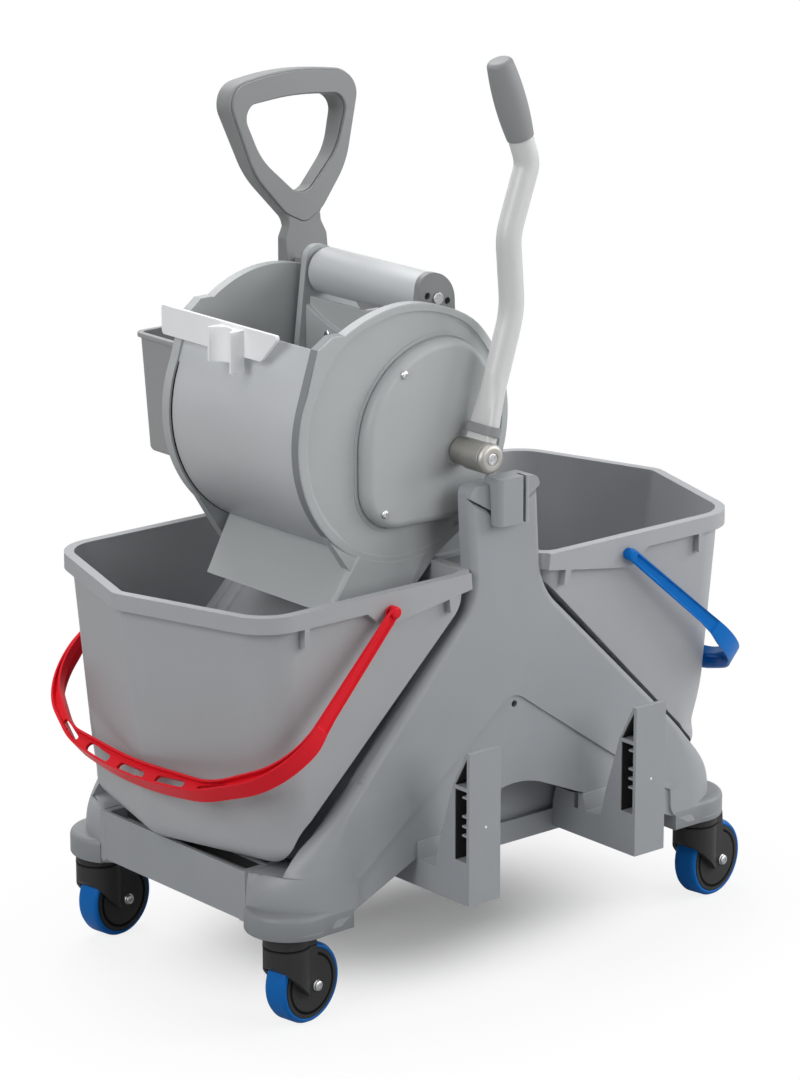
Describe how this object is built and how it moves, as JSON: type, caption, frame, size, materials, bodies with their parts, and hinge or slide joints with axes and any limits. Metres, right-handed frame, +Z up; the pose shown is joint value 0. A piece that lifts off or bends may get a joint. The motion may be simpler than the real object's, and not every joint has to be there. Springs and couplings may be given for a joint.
{
  "type": "cleaning trolley",
  "caption": "Grey mop trolley with paired buckets on an A-shaped frame, a lever-operated drum wringer, a push handle, a tray and swivel casters",
  "frame": {"origin": "on the floor, midway between the caster stems", "axes": "+X from the wringer bucket to the rinse bucket, +Y away from the side with the lever, +Z up"},
  "size_m": [0.7044, 0.504, 0.9],
  "materials": {
    "chassis_plastic": "moulded, fine satin",
    "bucket_plastic": "moulded, satin",
    "wringer_plastic": "moulded, satin",
    "handle_plastic": "moulded, satin",
    "tray_plastic": "moulded, satin",
    "white_plastic": "moulded, satin",
    "red_plastic": "moulded, semi gloss",
    "blue_plastic": "moulded, semi gloss",
    "lever_paint": "powder coated",
    "grip_plastic": "soft touch",
    "roller_plastic": "satin",
    "caster_black": "moulded, matt",
    "tread_blue": "elastic tread",
    "bright_steel": "zinc plated"
  },
  "bodies": {
    "base": {"end_frame_plus": "chassis_plastic", "end_frame_minus": "chassis_plastic", "near_rail": "chassis_plastic", "far_rail": "chassis_plastic", "near_side_frame": "chassis_plastic", "far_side_frame": "chassis_plastic", "saddle": "chassis_plastic", "near_column_cap": "chassis_plastic", "side_bracket_plus": "chassis_plastic", "side_bracket_minus": "chassis_plastic", "wringer_bucket": "bucket_plastic", "push_handle": "handle_plastic", "handle_inlay": "handle_plastic", "tray": "tray_plastic", "wringer_drum": "wringer_plastic", "near_end_plate": "wringer_plastic", "far_end_plate": "wringer_plastic", "near_cover": "wringer_plastic", "far_cover": "wringer_plastic", "chute": "wringer_plastic", "pole_rest": "white_plastic", "cradle": "wringer_plastic", "near_bush": "wringer_plastic", "far_bush": "wringer_plastic", "minus_near_stem": "bright_steel", "plus_near_stem": "bright_steel", "minus_far_stem": "bright_steel", "plus_far_stem": "bright_steel"},
    "lever": {"lever_shaft": "bright_steel", "lever_hub": "lever_paint", "hub_cap": "lever_paint", "lever_tube": "lever_paint", "lever_band": "grip_plastic", "lever_grip": "grip_plastic", "near_arm": "wringer_plastic", "far_arm": "wringer_plastic", "paddle": "wringer_plastic", "roller_axle": "bright_steel"},
    "roller": {"roller": "roller_plastic"},
    "red_bail": {"red_bail": "red_plastic"},
    "rinse_bucket": {"rinse_bucket": "bucket_plastic"},
    "blue_bail": {"blue_bail": "blue_plastic"},
    "minus_near_swivel": {"minus_near_fork": "caster_black", "minus_near_axle": "bright_steel"},
    "minus_near_roll": {"minus_near_wheel": "caster_black", "minus_near_tread": "tread_blue"},
    "plus_near_swivel": {"plus_near_fork": "caster_black", "plus_near_axle": "bright_steel"},
    "plus_near_roll": {"plus_near_wheel": "caster_black", "plus_near_tread": "tread_blue"},
    "minus_far_swivel": {"minus_far_fork": "caster_black", "minus_far_axle": "bright_steel"},
    "minus_far_roll": {"minus_far_wheel": "caster_black", "minus_far_tread": "tread_blue"},
    "plus_far_swivel": {"plus_far_fork": "caster_black", "plus_far_axle": "bright_steel"},
    "plus_far_roll": {"plus_far_wheel": "caster_black", "plus_far_tread": "tread_blue"}
  },
  "joints": [
    {"name": "lever_swing", "type": "hinge", "parent": "base", "child": "lever", "pos_m": [-0.0265, 0, 0.52], "axis": [0, -1, 0], "range_deg": [0, 80]},
    {"name": "roller_spin", "type": "hinge", "parent": "lever", "child": "roller", "pos_m": [-0.029, 0, 0.664], "axis": [0, 1, 0], "continuous": true},
    {"name": "red_bail_swing", "type": "hinge", "parent": "base", "child": "red_bail", "pos_m": [-0.152, 0, 0.394], "axis": [0, 1, 0], "range_deg": [0, 75]},
    {"name": "rinse_bucket_lift", "type": "slide", "parent": "base", "child": "rinse_bucket", "axis": [0, 0, 1], "range_m": [0, 0.24]},
    {"name": "blue_bail_swing", "type": "hinge", "parent": "rinse_bucket", "child": "blue_bail", "pos_m": [0.152, 0, 0.394], "axis": [0, -1, 0], "range_deg": [0, 125]},
    {"name": "minus_near_swivel_turn", "type": "hinge", "parent": "base", "child": "minus_near_swivel", "pos_m": [-0.268, -0.1506, 0.09], "axis": [0, 0, 1], "continuous": true},
    {"name": "minus_near_wheel_spin", "type": "hinge", "parent": "minus_near_swivel", "child": "minus_near_roll", "pos_m": [-0.24677, -0.14724, 0.04], "axis": [-0.1564, 0.9877, 0], "continuous": true},
    {"name": "plus_near_swivel_turn", "type": "hinge", "parent": "base", "child": "plus_near_swivel", "pos_m": [0.268, -0.1506, 0.09], "axis": [0, 0, 1], "continuous": true},
    {"name": "plus_near_wheel_spin", "type": "hinge", "parent": "plus_near_swivel", "child": "plus_near_roll", "pos_m": [0.28924, -0.14724, 0.04], "axis": [-0.1564, 0.9877, 0], "continuous": true},
    {"name": "minus_far_swivel_turn", "type": "hinge", "parent": "base", "child": "minus_far_swivel", "pos_m": [-0.268, 0.1506, 0.09], "axis": [0, 0, 1], "continuous": true},
    {"name": "minus_far_wheel_spin", "type": "hinge", "parent": "minus_far_swivel", "child": "minus_far_roll", "pos_m": [-0.24677, 0.15396, 0.04], "axis": [-0.1564, 0.9877, 0], "continuous": true},
    {"name": "plus_far_swivel_turn", "type": "hinge", "parent": "base", "child": "plus_far_swivel", "pos_m": [0.268, 0.1506, 0.09], "axis": [0, 0, 1], "continuous": true},
    {"name": "plus_far_wheel_spin", "type": "hinge", "parent": "plus_far_swivel", "child": "plus_far_roll", "pos_m": [0.28924, 0.15396, 0.04], "axis": [-0.1564, 0.9877, 0], "continuous": true}
  ]
}
